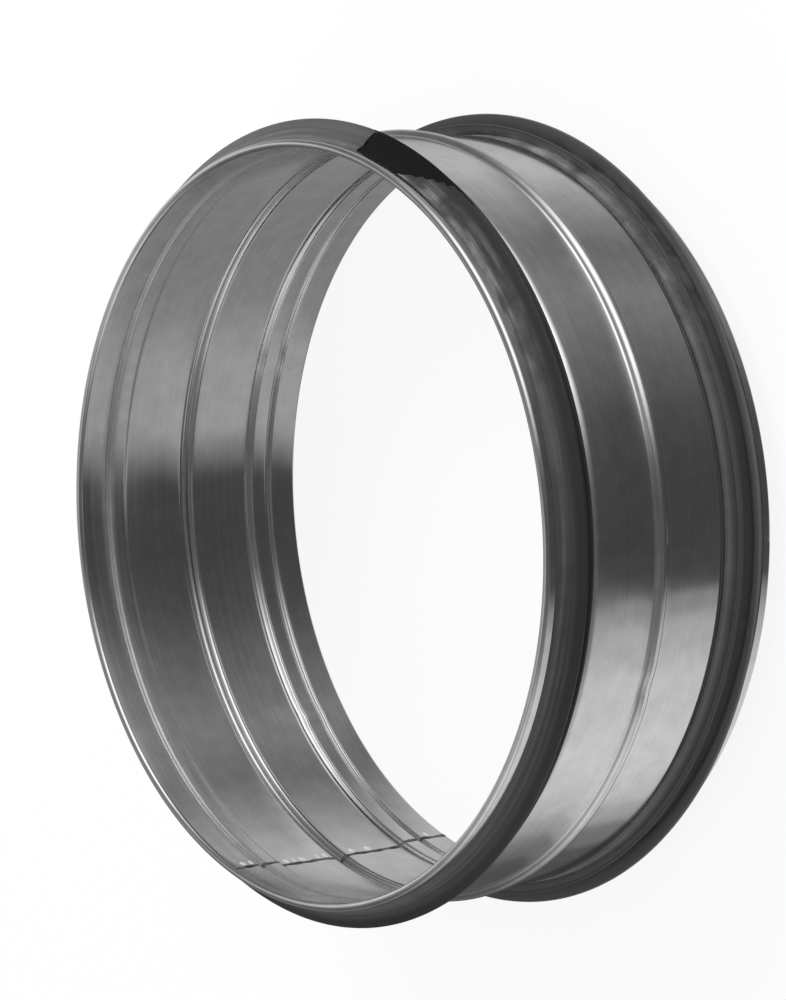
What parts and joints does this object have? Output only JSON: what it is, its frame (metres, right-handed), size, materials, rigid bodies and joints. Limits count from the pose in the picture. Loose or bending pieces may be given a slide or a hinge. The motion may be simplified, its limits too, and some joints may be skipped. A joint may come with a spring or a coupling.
{
  "type": "duct connector",
  "caption": "Round male duct connector: rolled galvanised sleeve with a stop bead round the middle, folded rims and a lipped rubber gasket near each end, joining ducts pushed over it.",
  "frame": {"origin": "on the duct axis, in the plane of the rear rim that the part stands on", "axes": "+Z along the duct axis from the rear rim to the front rim, +X through the weld seam"},
  "size_m": [0.2098, 0.2098, 0.074],
  "materials": {
    "galvanised_sheet": "galvanised sheet, satin, with faint drawing lines round the ring",
    "gasket_rubber": "black extruded rubber, satin"
  },
  "bodies": {
    "root": {"steel_sleeve": "galvanised_sheet", "front_gasket": "gasket_rubber", "rear_gasket": "gasket_rubber"}
  },
  "joints": []
}
